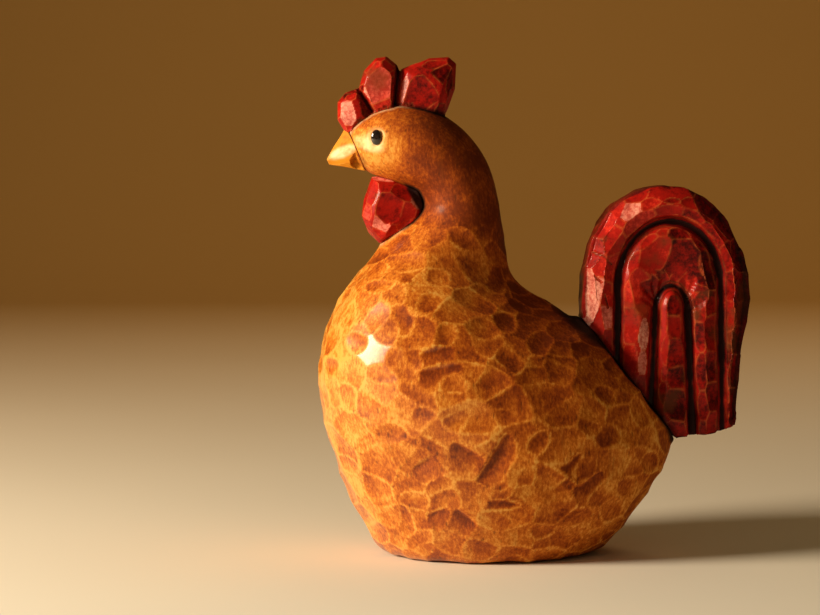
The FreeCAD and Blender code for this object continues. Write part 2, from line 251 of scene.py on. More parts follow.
def stained_wood():
    """Amber stain, rubbed back to yellow on the ridges and red-brown where it pooled in the cuts, with
    painted shade on the notch walls, the back and the joints, and painted light on the breast.
    """
    kit = Material("stained_body_wood")
    hollow = kit.attribute("hollow")
    shade = kit.attribute("shade")
    pale = kit.attribute("pale")
    gloss = kit.attribute("gloss")
    blotch = kit.noise(150, 5, 0.68)
    speckle = kit.noise(1300, 4, 0.7, stretch=(1, 1, 0.5))
    grain = kit.noise(300, 5, 0.65, stretch=(1, 1, 0.05), warp=0.3)
    large = kit.noise(30, 3, 0.5)

    # How deep the stain is drawn, from 0 to 1: more in the cuts, and most on the notches' steep walls as
    # painted shade; more on the neck and back, partly as painted shade; less on the ridges, and less on the
    # breast as painted light.
    depth = kit.math("MULTIPLY", hollow, kit.spread(kit.attribute("tone"), 0, 1, 0.0, 0.26))
    depth = kit.math("MULTIPLY", depth, kit.spread(pale, 0.0, 0.8, 1.0, 0.2))
    pooled_and_shade = kit.spread(kit.attribute("pool_and_shade"), 0.3, 1.0, -0.08, 0.30)
    depth = kit.math("ADD", depth, kit.math("MULTIPLY", hollow, pooled_and_shade))
    depth = kit.math("ADD", depth, kit.spread(blotch, 0.3, 0.7, 0.04, 0.52))
    depth = kit.math("ADD", depth, kit.spread(large, 0.3, 0.7, -0.10, 0.10))
    depth = kit.math("ADD", depth, kit.spread(speckle, 0.35, 0.66, -0.16, 0.22))
    depth = kit.math("ADD", depth, kit.math("MULTIPLY", kit.attribute("aged_and_shade"), 0.50))
    rubbed = kit.spread(kit.noise(70, 3), 0.38, 0.60, 0.03, 0.29)
    depth = kit.math("SUBTRACT", depth, kit.math("MULTIPLY", kit.attribute("ridge"), rubbed))
    depth = kit.math("SUBTRACT", depth, kit.math("MULTIPLY", pale, 0.36), clamp=True)
    base = kit.ramp(depth, [(0.0, (0.84, 0.42, 0.085)), (0.22, (0.70, 0.235, 0.022)),
                            (0.45, (0.50, 0.112, 0.007)), (0.72, (0.27, 0.044, 0.004)),
                            (1.0, (0.13, 0.020, 0.003))])

    # Cream paint by the eye, bare wood along the joints, then dark grain, pores and painted shade at the
    # joints.
    cream_breakup = kit.spread(kit.noise(320, 4), 0.36, 0.60, 0.2, 1.0)
    base = kit.mix(kit.math("MULTIPLY", kit.attribute("cream_paint_and_highlight"), cream_breakup), base, (0.90, 0.72, 0.38))
    chipped = kit.spread(kit.noise(420, 3), 0.38, 0.60, 0.25, 0.95)
    base = kit.mix(kit.math("MULTIPLY", kit.attribute("raw"), chipped), base, (0.74, 0.50, 0.29))
    base = kit.mix(kit.spread(grain, 0.56, 0.74, 0.0, 0.4), base, (0.22, 0.055, 0.008))
    pores = kit.spread(kit.cells(640, stretch=(1, 1, 0.25)), 0.10, 0.24, 0.7, 0.0)
    pore = kit.math("MULTIPLY", pores, kit.spread(blotch, 0.42, 0.62, 0.15, 1.0))
    base = kit.mix(pore, base, (0.09, 0.020, 0.005))
    base = kit.mix(kit.spread(shade, 0.0, 1.0, 0.0, 0.97), base, (0.010, 0.005, 0.003))

    rough = kit.math("ADD", kit.spread(blotch, 0.3, 0.7, 0.38, 0.52), kit.math("MULTIPLY", shade, 0.2))
    rough = kit.math("ADD", rough, kit.spread(gloss, 0.0, 1.0, 0.25, 0.0))
    height = kit.math("ADD", kit.math("MULTIPLY", grain, 0.7), kit.math("MULTIPLY", speckle, 0.3))
    height = kit.math("SUBTRACT", height, kit.math("MULTIPLY", pore, 0.6))
    kit.shade(base, rough, height, 0.09, coat=kit.math("MULTIPLY", gloss, 0.75), coat_roughness=0.22,
              specular=0.14)
    return kit.material


def red_wood():
    """Deep red stain under gloss lacquer, worn lighter on the edges, with pink painted highlights, and nearly
    black in the grooves, where it is dark stain and painted shade.
    """
    kit = Material("red_lacquered_wood")
    tone = kit.attribute("tone")
    shade = kit.attribute("shade")
    blotch = kit.noise(150, 5, 0.6)
    speckle = kit.noise(800, 4, 0.7)
    grain = kit.noise(300, 4, 0.6, stretch=(1, 1, 0.08), warp=0.2)
    depth = kit.math("ADD", kit.math("MULTIPLY", tone, 0.62), kit.spread(blotch, 0.3, 0.7, -0.12, 0.42))
    depth = kit.math("ADD", depth, kit.spread(speckle, 0.35, 0.7, -0.16, 0.22), clamp=True)
    base = kit.ramp(depth, [(0.0, (0.66, 0.030, 0.014)), (0.36, (0.37, 0.009, 0.005)),
                            (1.0, (0.045, 0.002, 0.002))])
    # The palest facets are streaked pink, partly worn lacquer and partly painted highlight; the ridges are
    # worn, and there are brown patches and dark fibres.
    worn_pink_and_highlight = kit.spread(tone, 0.0, 0.18, 1.0, 0.0)
    worn_pink_and_highlight = kit.math("MULTIPLY", worn_pink_and_highlight, kit.spread(blotch, 0.34, 0.62, 1.0, 0.45))
    worn_pink_and_highlight = kit.math("MULTIPLY", worn_pink_and_highlight, kit.spread(speckle, 0.42, 0.58, 1.0, 0.4))
    worn_pink_and_highlight = kit.math("MULTIPLY", worn_pink_and_highlight, kit.spread(grain, 0.42, 0.58, 1.0, 0.6))
    base = kit.mix(worn_pink_and_highlight, base, (0.90, 0.54, 0.42))
    worn = kit.math("MULTIPLY", kit.attribute("ridge"), kit.spread(kit.noise(210, 3), 0.38, 0.62, 0.0, 0.8))
    base = kit.mix(worn, base, (0.62, 0.13, 0.035))
    brown = kit.spread(kit.noise(75, 3), 0.58, 0.68, 0.0, 0.45)
    base = kit.mix(brown, base, (0.20, 0.050, 0.014))
    base = kit.mix(kit.spread(grain, 0.60, 0.74, 0.0, 0.35), base, (0.07, 0.005, 0.003))
    # Each piece's shade: painted shade in the grooves, clefts and nicks and on the tail's rim, painted shadow
    # under the comb's rear lobe and behind the wattle, and dark joints and cracks.
    base = kit.mix(kit.spread(shade, 0.0, 1.0, 0.0, 0.97), base, (0.006, 0.002, 0.002))
    rough = kit.math("ADD", kit.spread(blotch, 0.3, 0.7, 0.30, 0.44), kit.math("MULTIPLY", shade, 0.3))
    height = kit.math("ADD", kit.math("MULTIPLY", grain, 0.6), kit.math("MULTIPLY", speckle, 0.4))
    coat = kit.math("MULTIPLY", kit.attribute("gloss"), 0.14)
    kit.shade(base, rough, height, 0.06, coat=coat, coat_roughness=0.12, specular=0.08)
    return kit.material


def beak_wood():
    """Orange stain with a cream painted highlight on one facet, and a rough red-brown patch by the joint."""
    kit = Material("beak_wood")
    blotch = kit.noise(260, 5, 0.6)
    fibre = kit.noise(700, 4, 0.6, stretch=(0.15, 1, 1))
    depth = kit.math("ADD", kit.spread(blotch, 0.3, 0.7, 0.0, 0.6), kit.spread(fibre, 0.3, 0.7, -0.2, 0.2))
    depth = kit.math("ADD", depth, kit.math("MULTIPLY", kit.attribute("tone"), 0.35))
    base = kit.ramp(depth, [(0.0, (0.76, 0.34, 0.030)), (0.5, (0.66, 0.25, 0.018)),
                            (1.0, (0.46, 0.12, 0.010))])
    base = kit.mix(kit.math("MULTIPLY", kit.attribute("ridge"), 0.25), base, (0.80, 0.48, 0.14))
    # A painted highlight: cream on the middle facet, broken up by noise.
    cream_breakup = kit.spread(kit.noise(420, 4), 0.36, 0.58, 0.5, 1.0)
    base = kit.mix(kit.math("MULTIPLY", kit.attribute("cream_paint_and_highlight"), cream_breakup), base, (0.90, 0.74, 0.42))
    patch = kit.math("MULTIPLY", kit.attribute("rough"), kit.spread(kit.noise(900, 4), 0.35, 0.6))
    base = kit.mix(patch, base, (0.26, 0.050, 0.012))
    base = kit.mix(kit.attribute("shade"), base, (0.13, 0.026, 0.010))
    kit.shade(base, kit.spread(blotch, 0.3, 0.7, 0.42, 0.58), fibre, 0.08, specular=0.06)
    return kit.material


def eye_gloss():
    """A polished dark bead with a browner rim."""
    kit = Material("eye_bead")
    swirl = kit.noise(900, 3)
    base = kit.ramp(swirl, [(0.3, (0.010, 0.007, 0.007)), (0.7, (0.030, 0.016, 0.012))])
    base = kit.mix(kit.attribute("shade"), base, (0.07, 0.030, 0.016))
    kit.shade(base, kit.spread(swirl, 0.3, 0.7, 0.05, 0.12), coat=1.0, coat_roughness=0.04)
    return kit.material


def peg_wood():
    """Plain unfinished dowel wood."""
    kit = Material("peg_wood")
    fibre = kit.noise(500, 4, 0.6, stretch=(1, 1, 0.1))
    base = kit.ramp(fibre, [(0.3, (0.62, 0.44, 0.26)), (0.7, (0.44, 0.28, 0.14))])
    kit.shade(base, kit.spread(fibre, 0.3, 0.7, 0.55, 0.75), fibre, 0.08)
    return kit.material


# ---- meshes --------------------------------------------------------------------------------------
def remeshed(node, voxel, smooth=2):
    """A copy of the node's mesh, rebuilt from even quads of that size in millimetres."""
    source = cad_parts[node]
    mesh = source.data.copy()
    piece = bpy.data.objects.new(node + "_carved", mesh)
    bpy.context.scene.collection.objects.link(piece)
    piece.matrix_world = source.matrix_world
    remesh = piece.modifiers.new("remesh", "REMESH")
    remesh.mode = "VOXEL"
    remesh.voxel_size = voxel * MM
    remesh.use_smooth_shade = True
    relax = piece.modifiers.new("relax", "SMOOTH")
    relax.factor = 0.5
    relax.iterations = smooth
    graph = bpy.context.evaluated_depsgraph_get()
    made = bpy.data.meshes.new_from_object(piece.evaluated_get(graph))
    piece.modifiers.clear()
    piece.data = made
    made.materials.clear()
    bpy.data.meshes.remove(mesh)
    return piece


def points_of(mesh):
    flat = np.empty(len(mesh.vertices) * 3)
    mesh.vertices.foreach_get("co", flat)
    return flat.reshape(-1, 3) / MM


def normals_of(mesh):
    flat = np.empty(len(mesh.vertices) * 3)
    mesh.vertex_normals.foreach_get("vector", flat)
    return flat.reshape(-1, 3)


def put_points(mesh, points):
    mesh.vertices.foreach_set("co", (points * MM).ravel())
    mesh.update()


def soften(mesh):
    """Moves each point halfway to the middle of its neighbours, which takes the teeth off the ridges."""
    ends = np.empty(len(mesh.edges) * 2, int)
    mesh.edges.foreach_get("vertices", ends)
    a, b = ends.reshape(-1, 2).T
    points = points_of(mesh)
    total, count = np.zeros_like(points), np.zeros(len(points))
    for here, there in ((a, b), (b, a)):
        np.add.at(total, here, points[there])
        np.add.at(count, here, 1)
    put_points(mesh, points + (total / np.maximum(count, 1)[:, None] - points) * 0.5)


def put_attribute(mesh, name, values):
    layer = mesh.attributes.new(name, "FLOAT", "POINT")
    layer.data.foreach_set("value", np.clip(values, 0, 1).astype(np.float32))


def tree_of(points):
    tree = KDTree(len(points))
    for i, point in enumerate(points):
        tree.insert(point, i)
    tree.balance()
    return tree


def scatter(points, allowed, gap_at, rng):
    """Indices of points, in random order, none closer to an earlier one than gap_at(its index)."""
    order = rng.permutation(np.nonzero(allowed)[0])
    taken = []
    cells = {}
    size = max(gap_at(i) for i in order[:: max(1, len(order) // 200)])
    for i in order:
        gap = gap_at(i)
        home = tuple(int(math.floor(c / size)) for c in points[i])
        near = [j for a in (-1, 0, 1) for b in (-1, 0, 1) for c in (-1, 0, 1)
                for j in cells.get((home[0] + a, home[1] + b, home[2] + c), ())]
        if near and np.min(np.sum((points[near] - points[i]) ** 2, axis=1)) < gap * gap:
            continue
        cells.setdefault(home, []).append(i)
        taken.append(i)
    return taken


class Carving:
    """Overlapping cuts on one mesh, in millimetres. Each point goes in as far as the deepest cut over it, so
    where two cuts meet there is a sharp ridge."""
    # A notch's steep wall is this wide.
    NOTCH_WALL = 1.5

    def __init__(self, mesh):
        self.mesh = mesh
        self.points = points_of(mesh)
        self.normals = normals_of(mesh)
        self.tree = tree_of(self.points)
        self.first = np.zeros(len(self.points))
        self.second = np.zeros(len(self.points))
        self.first_slope = np.zeros((len(self.points), 3))
        self.second_slope = np.zeros((len(self.points), 3))
        self.owner = np.full(len(self.points), -1)
        self.pool_and_shade = np.full(len(self.points), 0.5)
        self.pool_way = 0.0
        self.scored = np.zeros(len(self.points))
        self.tones = []
        self.pushes = []

    def near(self, site, reach):
        return np.array([index for _, index, _ in self.tree.find_range(site, reach)], dtype=int)

    def take(self, ids, bowl, slope, tone, pool_and_shade, push=None):
        """Cuts these points as deep as bowl says, along push or along each point's own normal."""
        self.tones.append(tone)
        self.pushes.append(push)
        first = bowl > self.first[ids]
        won, lost = ids[first], ids[~first]
        self.second[won], self.second_slope[won] = self.first[won], self.first_slope[won]
        self.first[won], self.first_slope[won] = bowl[first], slope[first]
        self.owner[won] = len(self.tones) - 1
        self.pool_and_shade[won] = pool_and_shade[first]
        between = bowl[~first] > self.second[lost]
        self.second[lost[between]] = bowl[~first][between]
        self.second_slope[lost[between]] = slope[~first][between]

    def gouge(self, site, normal, along, half_length, half_width, depth, tone, tilt=(0.0, 0.0)):
        """A bowl of that size and depth, whose long way runs along. A tilt makes one end of it deeper."""
        along = along - normal * float(along @ normal)
        along = along / np.linalg.norm(along)
        across = np.cross(normal, along)
        ids = self.near(site, max(half_length, half_width) * 1.15)
        ids = ids[self.normals[ids] @ normal > 0.25]
        offset = self.points[ids] - site
        u, v = offset @ along, offset @ across
        square = (u / half_length) ** 2 + (v / half_width) ** 2
        bowl = depth * (1 - square) + tilt[0] * u + tilt[1] * v
        bowl[square > 1.3] = -1
        slope_u = tilt[0] - 2 * depth * u / half_length ** 2
        slope_v = tilt[1] - 2 * depth * v / half_width ** 2
        downhill = math.cos(self.pool_way), math.sin(self.pool_way)
        pool_and_shade = 0.5 + 0.5 * (u / half_length * downhill[0] + v / half_width * downhill[1])
        self.take(ids, bowl, slope_u[:, None] * along + slope_v[:, None] * across, tone, pool_and_shade)

    def notch(self, site, normal, along, half_length, half_width, depth, tone):
        """A slanting cut that runs in from one long side and stops at a steep wall on the other."""
        wall = self.NOTCH_WALL
        along = along - normal * float(along @ normal)
        along = along / np.linalg.norm(along)
        across = np.cross(normal, along)
        ids = self.near(site, math.hypot(half_length, half_width + wall))
        ids = ids[self.normals[ids] @ normal > 0.25]
        offset = self.points[ids] - site
        u, v = offset @ along, offset @ across
        floor = (v + half_width) / (2 * half_width)
        steep = (half_width + wall - v) / wall
        on_floor = floor < steep
        taper = 1 - (u / half_length) ** 2
        bowl = self.first[ids].mean() * 0.7 + depth * np.minimum(floor, steep) * taper
        bowl[(abs(u) > half_length) | (v < -half_width)] = -1
        slope = np.where(on_floor, 0.5 / half_width, -1 / wall) * depth * taper
        # On the steep wall this is 1, which paints shade on the wall; across the floor it rises towards the
        # wall.
        pool_and_shade = np.where(on_floor, 0.25 + 0.75 * np.clip(floor, 0, 1), 1.0)
        self.take(ids, bowl, slope[:, None] * across, tone, pool_and_shade)

    def slice(self, site, normal, depth, reach, hollow_r, tone, allowed=None, along=None):
        """A nearly flat facet with that normal, whose middle is depth under site. With along it curves only
        that way."""
        normal = normal / np.linalg.norm(normal)
        ids = self.near(site, reach)
        ids = ids[self.normals[ids] @ normal > 0.2]
        if allowed is not None:
            ids = ids[allowed[ids]]
        offset = self.points[ids] - site
        height = offset @ normal
        sideways = offset - height[:, None] * normal
        if along is not None:
            sideways = (sideways @ along)[:, None] * along
        bowl = depth + height - np.sum(sideways ** 2, axis=1) / (2 * hollow_r)
        pool_and_shade = 0.5 + 0.5 * sideways[:, 2] / reach
        self.take(ids, bowl, normal - sideways / hollow_r, tone, pool_and_shade, normal)

    def score(self, start, end, side, half_width, depth):
        """A V-shaped knife line on one side, between two points of the XZ plane."""
        start, end = np.array(start, float), np.array(end, float)
        run = end - start
        flat = self.points[:, [0, 2]]
        share = np.clip((flat - start) @ run / (run @ run), 0, 1)
        away = flat - (start + share[:, None] * run)
        gap = np.linalg.norm(away, axis=1)
        ids = np.nonzero((gap < half_width) & (self.normals[:, 1] * side > 0.2))[0]
        if not len(ids):
            return
        bowl = self.first[ids] + depth * (1 - gap[ids] / half_width)
        slope = np.zeros((len(ids), 3))
        slope[:, [0, 2]] = -away[ids] / np.maximum(gap[ids], 1e-6)[:, None] * depth / half_width
        self.scored[ids] = np.maximum(self.scored[ids], 1 - gap[ids] / half_width)
        self.take(ids, bowl, slope, 0.8, np.full(len(ids), 0.5), np.array((0, side, 0.0)))

    def apply(self, ridge_width, hollow_from=0.2, hollow_to=2.2, also=0.0, touching=0.0, clear=1.0):
        """Moves the points in, and paints how near each is to a ridge and how far it is inside its own cut.

        The ridge paint is never under also. Where touching is 1, against another piece, nothing is cut away.
        clear is how strongly the cuts' own stains show."""
        depth = np.maximum(self.first, 0) * (1 - smooth_step(touching, 0.35, 0.9))
        ways = self.normals.copy()
        for number, push in enumerate(self.pushes):
            if push is not None:
                ways[self.owner == number] = push
        put_points(self.mesh, self.points - ways * depth[:, None])
        turn = self.first_slope - self.second_slope
        turn -= np.sum(turn * self.normals, axis=1)[:, None] * self.normals
        turn = np.linalg.norm(turn, axis=1)
        away = (self.first - self.second) / np.maximum(turn, 0.02)
        crisp = smooth_step(turn, 0.04, 0.22) * (depth > 0)
        put_attribute(self.mesh, "ridge", np.maximum(np.exp(-(away / ridge_width) ** 1.5) * crisp, also))
        put_attribute(self.mesh, "hollow", smooth_step(away, hollow_from, hollow_to) * (depth > 0) * clear)
        put_attribute(self.mesh, "tone", np.array(self.tones + [0.5])[self.owner])
        put_attribute(self.mesh, "pool_and_shade", self.pool_and_shade)


def finish_piece(piece, node, material):
    piece.data.materials.append(material)
    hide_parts(node)
    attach(piece, "root")


def near_to(points, node, reach):
    """1 where a point touches that CAD piece, falling to 0 at reach."""
    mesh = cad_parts[node].data
    faces = [list(face.vertices) for face in mesh.polygons]
    surface = BVHTree.FromPolygons(points_of(mesh).tolist(), faces)
    found = [surface.find_nearest(point, reach)[3] for point in points.tolist()]
    return 1 - np.array([reach if gap is None else gap for gap in found]) / reach


def node_points(name):
    return points_of(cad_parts[name].data)


def painted_patch(points, middle, slant, half_length, half_width):
    """1 in the middle of a slanting oval of the XZ plane, fading out to 0 past its edge."""
    way = math.radians(slant)
    x, z = points[:, 0] - middle[0], points[:, 2] - middle[1]
    along, across = x * math.cos(way) + z * math.sin(way), z * math.cos(way) - x * math.sin(way)
    return 1 - smooth_step(np.hypot(along / half_length, across / half_width), 0.5, 1.15)


def smooth_step(values, low, high):
    share = np.clip((values - low) / (high - low), 0, 1)
    return share * share * (3 - 2 * share)


# ---- body ----------------------------------------------------------------------------------------
BODY_VOXEL = 0.70
# The neck's small cuts begin at the first height, and the head's scraped surface is reached at the second.
NECK_Z, HEAD_Z = 88, 112
# Two passes of gouge cuts: spacing, how much less of it on the head, size against the spacing, the gouge's
# radius, and tone.
GOUGE_PASSES = [(7.4, 2.6, (0.80, 1.25), (26, 60), (0.0, 0.6)),
                (9.6, 3.6, (0.50, 0.80), (13, 24), (0.3, 0.9))]
GOUGE_DEEPEST = 1.0
# The slanted knife cuts on the flank: x, z, degrees from level, half-length, half-width, depth.
FLANK_CUTS = [(-20.3, 28.5, 36, 5.8, 3.0, 1.2), (-10.0, 31.0, -30, 6.8, 4.0, 1.4),
              (1.1, 31.5, 59, 9.2, 3.0, 1.7), (-11.5, 12.5, -41, 4.8, 3.4, 1.2),
              (-16.0, 14.5, 36, 4.6, 2.4, 0.8), (2.7, 17.0, -5, 6.0, 2.0, 0.8),
              (29.0, 23.0, 30, 6.5, 3.0, 1.1), (24.0, 30.0, 42, 4.4, 2.2, 0.8),
              (-17.0, 61.5, 14, 7.0, 2.8, 0.9), (-16.0, 56.5, 10, 7.6, 3.0, 0.9)]


def carve_body():
    rng = np.random.default_rng(17)
    piece = remeshed("body", BODY_VOXEL)
    carving = Carving(piece.data)
    headness = smooth_step(carving.points[:, 2], NECK_Z, HEAD_Z)
    gouge_all_over(carving, headness, rng)
    notch_flanks(carving, rng)
    paint_body(piece.data, carving, headness)
    finish_piece(piece, "body", stained_wood())


def gouge_all_over(carving, headness, rng):
    """The head is scraped nearly smooth, the neck has small cuts and the body has large ones."""
    points, normals = carving.points, carving.normals
    open_to_cuts = (normals[:, 2] > -0.9) | (points[:, 2] > 3)
    for spacing, less, sizes, radii, tones in GOUGE_PASSES:
        gap = spacing - less * headness
        for i in scatter(points, open_to_cuts, lambda i: gap[i], rng):
            normal = normals[i]
            level = np.cross(normal, (0, 0, 1.0))
            if np.linalg.norm(level) < 0.2:
                level = np.array((1.0, 0, 0))
            level = level / np.linalg.norm(level)
            turn = rng.normal(0.0, 0.55)
            along = level * math.cos(turn) + np.cross(normal, level) * math.sin(turn)
            size = gap[i] * rng.uniform(*sizes)
            stretch = rng.uniform(1.0, 1.9)
            depth = size * size / (2 * rng.uniform(*radii)) * (1 - 0.90 * headness[i])
            tilt = rng.uniform(-0.05, 0.05, 2) * (1 - headness[i])
            carving.pool_way = rng.uniform(0, 2 * math.pi)
            carving.gouge(points[i], normal, along, size * stretch ** 0.5, size / stretch ** 0.5,
                          min(depth, GOUGE_DEEPEST), rng.uniform(*tones), tilt)


def notch_flanks(carving, rng):
    """The knife cuts, in the listed places on the left side and about there on the right one."""
    points = carving.points
    x, y, z = points.T
    for side in (-1, 1):
        for cut_x, cut_z, slant, half_length, half_width, depth in FLANK_CUTS:
            if side > 0:
                cut_x, slant = cut_x + rng.uniform(-5, 5), slant + rng.uniform(-30, 30)
            index = np.argmin(np.hypot(x - cut_x, z - cut_z) + (y * side < 10) * 100)
            turn = math.radians(slant)
            along = np.array((math.cos(turn), 0, math.sin(turn)))
            carving.notch(points[index], carving.normals[index], along, half_length, half_width, depth, 0.8)


def paint_body(mesh, carving, headness):
    """Applies the cuts, then paints shade at the joints, the cream by the eye, and where the stain is paler
    (round the eye, and on the breast as painted light), darker (age and painted shade) or glossy."""
    points = carving.points
    x, y, z = points.T
    to_tail = near_to(points, "tail", 12.0)
    to_beak = near_to(points, "beak", 1.0)
    to_wattle = near_to(points, "wattle", 2.6)
    to_comb = near_to(points, "comb", 2.0)
    carving.apply(0.31, 0.0, 1.2, touching=np.maximum.reduce([3 * to_tail - 2, to_wattle, to_comb]),
                  clear=1 - 0.85 * headness)

    # Painted shade at the joints: shadow over a dark stain at the tail, shadow under the comb's rear lobe and
    # behind the wattle, and a dark line along the beak with a red-brown patch at its lower end. The fronts of
    # the comb's and the wattle's joints are bare.
    comb_rear = smooth_step(x, -28, -22)
    joint_from = 0.78 - 0.72 * smooth_step(z, 48, 69)
    tip = beak_tip()
    put_attribute(mesh, "shade", np.maximum.reduce([
        smooth_step(to_tail, joint_from, joint_from * 0.3 + 0.68),
        smooth_step(to_beak, 0.3, 0.8) * 0.45,
        smooth_step(to_comb, 0.2, 0.8) * comb_rear,
        smooth_step(to_wattle, 0.2, 0.9) * smooth_step(x, -27.5, -24.5),
        painted_patch(points, (tip[0] + 9.8, tip[2] - 0.4), -55, 3.6, 1.7) * 0.5]))
    bare_comb_joint = smooth_step(to_comb, 0.3, 0.7) * (1 - comb_rear)
    bare_wattle_joint = smooth_step(to_wattle, 0.5, 0.9) * (z < 100) * (x < -24)
    put_attribute(mesh, "raw", np.maximum(bare_comb_joint, bare_wattle_joint) * 0.7)

    # The cream patch slants down from in front of the eye to under it.
    low, high = (np.array(corner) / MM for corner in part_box("eye_left"))
    eye_x, _, eye_z = (low + high) / 2
    patch = painted_patch(points, (eye_x - 2.1, eye_z - 2.1), -18, 5.0, 2.2)
    ring = (1 - smooth_step(np.hypot(x - eye_x, z - eye_z), 2.2, 3.4)) * 0.5
    put_attribute(mesh, "cream_paint_and_highlight", np.maximum(patch, ring))
    around_eye = (1 - smooth_step(np.hypot(x - eye_x - 0.5, (z - eye_z + 4.0) * 0.9), 2, 13)) * 0.75
    # Paler on the breast, which faces the light: painted light.
    breast = (1 - smooth_step(x, -50, -26)) * (1 - smooth_step(z, 75, 95)) * 0.42
    put_attribute(mesh, "pale", np.maximum(around_eye * smooth_step(abs(y), 3, 6), breast))

    # Darker stain on the crown of the head. On the back, the rump and the rear of the neck, which face away
    # from the light, the darkening is partly stain and partly painted shade.
    rump = smooth_step(x, -25, 30) * smooth_step(z, 30, 80)
    neck = smooth_step(z, 84, 112) * (0.12 + 1.0 * smooth_step(x, -38, -16))
    crown = smooth_step(z, eye_z + 1, eye_z + 8) * 0.30 * (1 - smooth_step(x, -34, -20))
    put_attribute(mesh, "aged_and_shade", rump + neck + crown)
    put_attribute(mesh, "gloss", (1 - smooth_step(z, 84, 104) * 0.9) * (1 - smooth_step(x, -20, 10)))


# ---- tail ----------------------------------------------------------------------------------------
TAIL_VOXEL = 0.40
# The tail's outline and its two grooves, as in the CAD, in millimetres of the XZ plane.
TAIL_OUTLINE = [(27.4, 62.0), (27.4, 69.6), (27.6, 81.0), (30.0, 93.8), (35.4, 103.4), (43.8, 109.2),
                (52.5, 110.9), (61.8, 109.0), (70.6, 101.0), (76.4, 89.0), (78.2, 77.5), (76.2, 64.0),
                (74.8, 50.0), (74.4, 38.6)]
OUTER_GROOVE = {"legs": (37.9, 68.9), "feet": (37.9, 69.9), "spring": 81.0, "top": 100.3}
INNER_GROOVE = {"legs": (49.2, 58.9), "feet": (47.4, 61.2), "spring": 73.5, "top": 81.0}
GROOVE_FOOT_Z = 26.0
# The rows of facets across a band: share of the way from its inner edge to its outer one, degrees of lean
# towards the outer one, and extra depth. A band wider than WIDE_BAND has three rows.
BAND_ROWS = [(0.26, -22, 0), (0.72, 23, 0)]
WIDE_BAND_ROWS = [(0.20, -20, 0), (0.52, -7, 0), (0.84, 23, 0)]
RIM_ROWS = [(0.26, -22, 0), (0.70, 20, 0), (0.97, 50, 1.5)]
PLUME_ROWS = [(0.32, -9, 0), (0.80, 26, 0)]
WIDE_BAND = 13
# The tail's face is slightly domed: where its crown is and the radius it turns with.
TAIL_CROWN_X = 50.0
TAIL_DOME_R = 200.0
LINE_POINTS = 120
# Fine drying cracks near the front edge: both ends, in the XZ plane.
TAIL_CRACKS = [((29.8, 91.2), (33.4, 89.9)), ((33.4, 89.9), (35.9, 87.4)), ((30.4, 83.9), (32.3, 82.3)),
               ((34.0, 78.4), (34.9, 74.6))]


def even_line(points, count=LINE_POINTS):
    """The same line with evenly spaced points."""
    points = np.array(points, dtype=float)
    lengths = np.concatenate([[0], np.cumsum(np.linalg.norm(np.diff(points, axis=0), axis=1))])
    at = np.linspace(0, lengths[-1], count)
    return np.stack([np.interp(at, lengths, points[:, k]) for k in (0, 1)], axis=1)


def groove_line(groove):
    """Up one leg of the groove, round its arch and down the other leg."""
    left, right = groove["legs"]
    middle, half, rise = (left + right) / 2, (right - left) / 2, groove["top"] - groove["spring"]
    arch = [(middle - half * math.cos(t), groove["spring"] + rise * math.sin(t))
            for t in np.linspace(0, math.pi, 40)]
    foot_left, foot_right = groove["feet"]
    return even_line([(foot_left, GROOVE_FOOT_Z), *arch, (foot_right, GROOVE_FOOT_Z)])


def line_distance(points, line):
    """Distance of each point to the nearest point of a finely spaced line."""
    fine = even_line(line, 600)
    best = np.full(len(points), 1e9)
    for step in range(0, len(fine), 60):
        gap = points[:, None, :] - fine[None, step:step + 60, :]
        best = np.minimum(best, np.sqrt((gap ** 2).sum(axis=2)).min(axis=1))
    return best


def nearest_on(line, other):
    """For each point of the line, the closest point of the other line."""
    fine = even_line(other, 600)
    return fine[np.argmin(np.linalg.norm(line[:, None, :] - fine[None, :, :], axis=2), axis=1)]


def inside_line(points, line):
    """True for each point inside the closed line."""
    x, z = points.T
    inside = np.zeros(len(points), bool)
    ends = np.roll(line, -1, axis=0)
    for (x0, z0), (x1, z1) in zip(line, ends):
        if z0 != z1:
            crosses = ((z0 > z) != (z1 > z)) & (x < (x1 - x0) * (z - z0) / (z1 - z0) + x0)
            inside ^= crosses
    return inside


def tail_bands(flat, outer, inner):
    """The rim band, the middle band and the plume: outer edge, inner edge, rows for a width, and points."""
    rim = even_line(TAIL_OUTLINE)
    in_outer, in_inner = inside_line(flat, outer), inside_line(flat, inner)
    # The plume's two edges run up from its foot and meet at its tip.
    half = LINE_POINTS // 2
    plume = even_line(inner[:half]), even_line(inner[::-1][:half])
    return [(rim, nearest_on(rim, outer), lambda width: RIM_ROWS, ~in_outer),
            (outer, nearest_on(outer, inner),
             lambda width: WIDE_BAND_ROWS if width > WIDE_BAND else BAND_ROWS, in_outer & ~in_inner),
            (*plume, lambda width: PLUME_ROWS, in_inner)]


